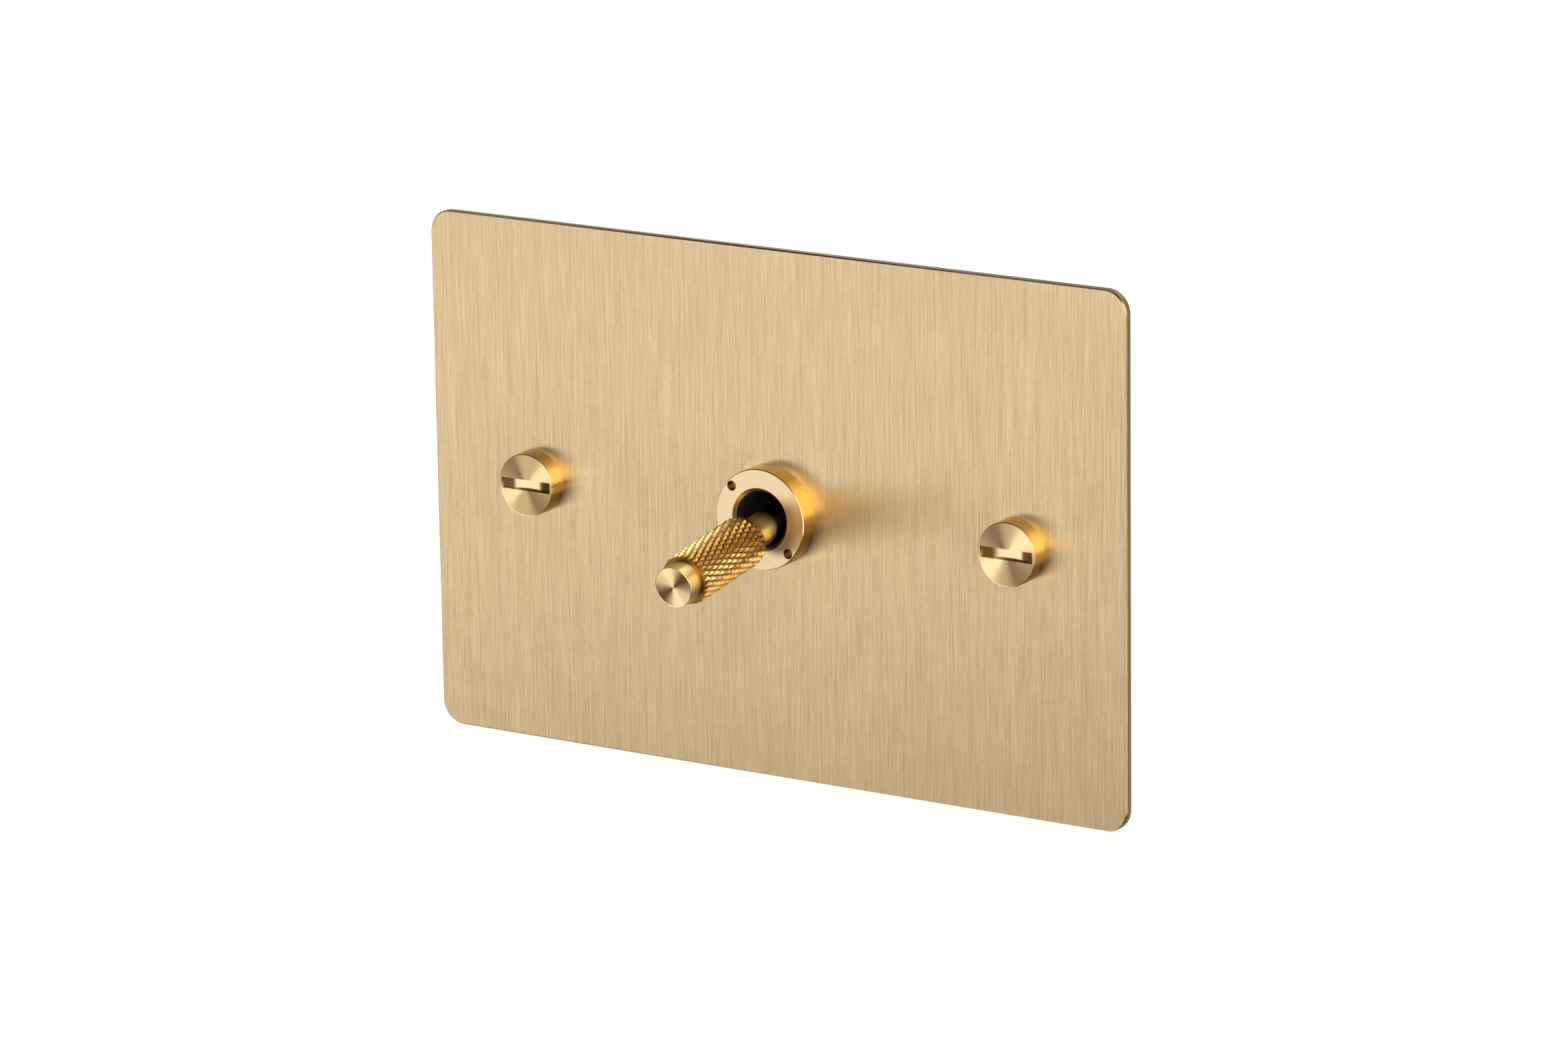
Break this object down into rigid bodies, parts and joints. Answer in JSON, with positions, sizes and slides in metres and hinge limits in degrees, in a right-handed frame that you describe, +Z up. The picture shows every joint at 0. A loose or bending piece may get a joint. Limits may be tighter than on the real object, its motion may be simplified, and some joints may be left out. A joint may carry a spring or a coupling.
{
  "type": "toggle light switch",
  "caption": "Toggle light switch with a thin brushed brass faceplate, knurled toggle in a round ring nut, coin-slot fixing screws and a seesaw contact mechanism with screw terminals behind.",
  "frame": {"origin": "centre of the faceplate's back face, on the wall, midway between the two fixing screws", "axes": "+X to the right along the faceplate's long side, +Y into the wall, +Z up; the toggle faces -Y and is stored pointing down"},
  "size_m": [0.12, 0.0588, 0.08],
  "materials": {
    "brushed_brass": "vertically brushed satin",
    "satin_brass": "satin",
    "turned_brass": "turned and polished",
    "black_zinc": "black coated",
    "black_moulding": "moulded",
    "plated_steel": "zinc plated",
    "spring_steel": "drawn wire",
    "terminal_brass": "stamped",
    "contact_copper": "stamped copper",
    "contact_silver": "silver faced",
    "plunger_nylon": "moulded"
  },
  "bodies": {
    "base": {"faceplate": "brushed_brass", "fixing_screws": "turned_brass", "ring_nut": "satin_brass", "bushing": "black_zinc", "lock_washer": "plated_steel", "back_nut": "plated_steel", "pivot_pin": "plated_steel", "contact_saddle": "contact_copper", "saddle_rivet": "terminal_brass", "fixed_contacts": "contact_silver", "housing": "black_moulding", "clamp_frame": "plated_steel", "upper_terminal": "terminal_brass", "lower_terminal": "terminal_brass", "common_terminal": "terminal_brass", "wire_clamps": "plated_steel", "terminal_screws": "terminal_brass", "earth_terminal": "terminal_brass", "earth_screw": "terminal_brass"},
    "toggle": {"lever": "turned_brass", "toggle_handle": "turned_brass", "plunger_spring": "spring_steel"},
    "plunger": {"plunger": "plunger_nylon"},
    "rocker": {"rocker": "contact_copper", "rocker_contacts": "contact_silver"}
  },
  "joints": [
    {"name": "toggle_tilt", "type": "hinge", "parent": "base", "child": "toggle", "pos_m": [0, 0.0071, 0], "axis": [-1, 0, 0], "range_deg": [0, 16]},
    {"name": "rocker_tilt", "type": "hinge", "parent": "base", "child": "rocker", "pos_m": [0, 0.02111, 0], "axis": [1, 0, 0], "range_deg": [0, 20]},
    {"name": "plunger_slide", "type": "slide", "parent": "toggle", "child": "plunger", "axis": [0, -0.9903, -0.1392], "range_m": [0, 0.0008], "stiffness_N_per_m": 400, "deforming": ["plunger_spring"]}
  ],
  "couplings": [
    {"joint": "rocker_tilt", "follows": "toggle_tilt", "ratio": 1.25}
  ]
}
